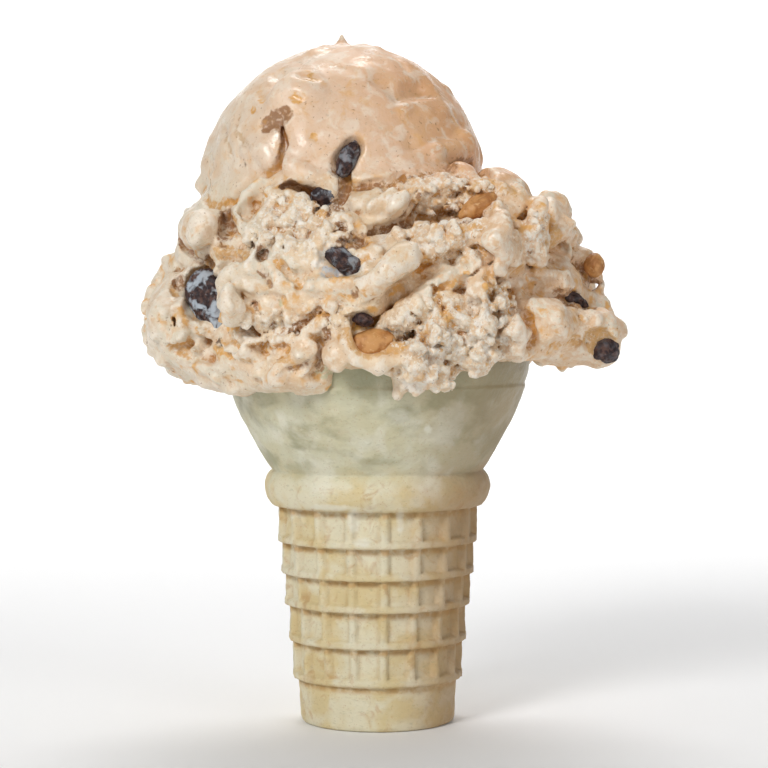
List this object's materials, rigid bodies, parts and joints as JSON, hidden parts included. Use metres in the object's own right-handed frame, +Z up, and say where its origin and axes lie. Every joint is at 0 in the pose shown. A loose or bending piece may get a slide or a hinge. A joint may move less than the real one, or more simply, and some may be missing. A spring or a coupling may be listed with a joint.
{
  "type": "ice cream cone",
  "caption": "Scoop of melting ice cream with chocolate and nut pieces, heaped in a flat-bottomed moulded wafer cup cone and hanging over its rim.",
  "frame": {"origin": "middle of the wafer cup's flat base, which is on the ground plane", "axes": "+Z up the cup's axis; -Y is the front, the side with the large chocolate piece at its left; +X to that side's right"},
  "size_m": [0.0936, 0.0775, 0.1373],
  "materials": {
    "wafer": "matte baked wafer",
    "ice_cream": "soft satin, wet where it melts",
    "chocolate": "satin",
    "nut": "satin"
  },
  "bodies": {
    "root": {"cake_cone": "wafer", "ice_cream": "ice_cream", "chocolate_left": "chocolate", "chocolate_middle": "chocolate", "chocolate_low": "chocolate", "chocolate_tip": "chocolate", "chocolate_right": "chocolate", "chocolate_upper": "chocolate", "chocolate_dome": "chocolate", "nut_front": "nut", "nut_upper": "nut", "nut_edge": "nut"}
  },
  "joints": []
}
